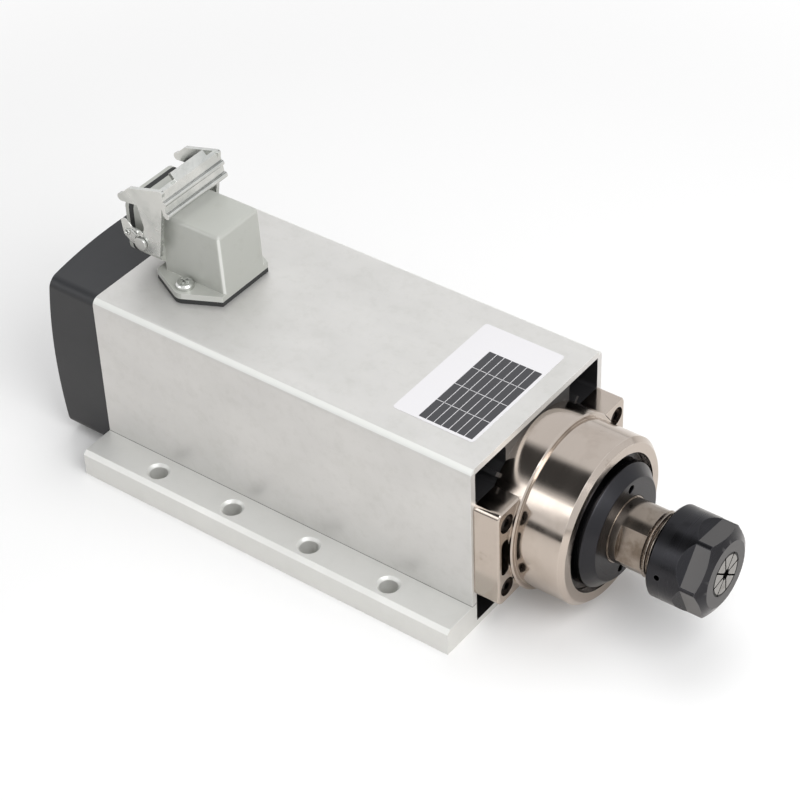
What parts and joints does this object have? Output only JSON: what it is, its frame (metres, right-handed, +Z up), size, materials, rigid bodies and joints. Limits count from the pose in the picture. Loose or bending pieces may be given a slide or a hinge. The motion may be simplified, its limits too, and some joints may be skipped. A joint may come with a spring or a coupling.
{
  "type": "motor spindle",
  "caption": "Square air-cooled milling motor spindle: finned body on mounting feet, collet nut on a turning shaft, fan cover, and an angled plug connector with a locking lever.",
  "frame": {"origin": "underside of the feet, centre of the eight mounting holes and of the body's length", "axes": "+X along the shaft towards the nose, +Z up away from the mounting plane"},
  "size_m": [0.2703, 0.11, 0.1189],
  "materials": {
    "body_aluminium": "fine bead-blasted, clear anodised",
    "nickel": "bright nickel plate over turned steel",
    "shaft_steel": "ground steel",
    "black_oxide": "black oxide over turned steel",
    "collet_steel": "ground spring steel",
    "bearing_steel": "ground bearing steel",
    "cage_resin": "machined phenolic cage with steel balls",
    "core_steel": "stacked electrical steel",
    "copper": "varnished copper wire",
    "cast_aluminium": "die-cast",
    "cover_plastic": "fine spark-eroded texture",
    "fan_plastic": "moulded",
    "seal_rubber": "smooth",
    "connector_alloy": "die-cast, grey powder coat",
    "lever_steel": "zinc-plated sheet",
    "insert_plastic": "moulded polycarbonate",
    "contact_silver": "silver plate",
    "lead_sleeve": "woven glass sleeving",
    "screw_zinc": "zinc plate",
    "screw_black": "black oxide",
    "spring_steel": "blued spring steel"
  },
  "bodies": {
    "motor_body": {"housing": "body_aluminium", "front_bearing_seat": "nickel", "flange_screws": "screw_black", "front_outer_ring": "bearing_steel", "rear_outer_ring": "bearing_steel", "spring_washer": "spring_steel", "retaining_ring": "black_oxide", "stator_core": "core_steel", "stator_windings": "copper", "rear_bearing_seat": "cast_aluminium", "bearing_circlip": "spring_steel", "rear_cover": "cover_plastic", "cover_screws": "screw_black", "connector_gasket": "seal_rubber", "connector_shell": "connector_alloy", "mouth_seal": "seal_rubber", "contact_insert": "insert_plastic", "contact_pins": "contact_silver", "motor_leads": "lead_sleeve", "connector_screws": "screw_zinc", "pivot_studs": "screw_zinc"},
    "rotor": {"shaft": "shaft_steel", "rotor_core": "core_steel", "rotor_end_rings": "cast_aluminium", "front_inner_ring": "bearing_steel", "rear_inner_ring": "bearing_steel", "fan": "fan_plastic", "fan_screw": "screw_zinc"},
    "front_cage": {"front_ball_cage": "cage_resin"},
    "rear_cage": {"rear_ball_cage": "cage_resin"},
    "collet": {"collet": "collet_steel"},
    "nut": {"collet_nut": "black_oxide"},
    "lever": {"locking_lever": "lever_steel"}
  },
  "joints": [
    {"name": "rotor_spin", "type": "hinge", "parent": "motor_body", "child": "rotor", "pos_m": [0, 0, 0.0365], "axis": [1, 0, 0], "continuous": true},
    {"name": "front_cage_orbit", "type": "hinge", "parent": "motor_body", "child": "front_cage", "pos_m": [0, 0, 0.0365], "axis": [1, 0, 0], "continuous": true},
    {"name": "rear_cage_orbit", "type": "hinge", "parent": "motor_body", "child": "rear_cage", "pos_m": [0, 0, 0.0365], "axis": [1, 0, 0], "continuous": true},
    {"name": "collet_slide", "type": "slide", "parent": "rotor", "child": "collet", "axis": [1, 0, 0], "range_m": [0, 0.0045]},
    {"name": "collet_nut_turn", "type": "hinge", "parent": "collet", "child": "nut", "pos_m": [0.14, 0, 0.0365], "axis": [1, 0, 0], "range_deg": [0, 1080]},
    {"name": "lever_swing", "type": "hinge", "parent": "motor_body", "child": "lever", "pos_m": [-0.0752, 0, 0.09], "axis": [0, -1, 0], "range_deg": [0, 85]}
  ],
  "couplings": [
    {"joint": "front_cage_orbit", "follows": "rotor_spin", "ratio": 0.4056},
    {"joint": "rear_cage_orbit", "follows": "rotor_spin", "ratio": 0.384},
    {"joint": "collet_slide", "follows": "collet_nut_turn", "m_per_rad": 0.00023873}
  ]
}
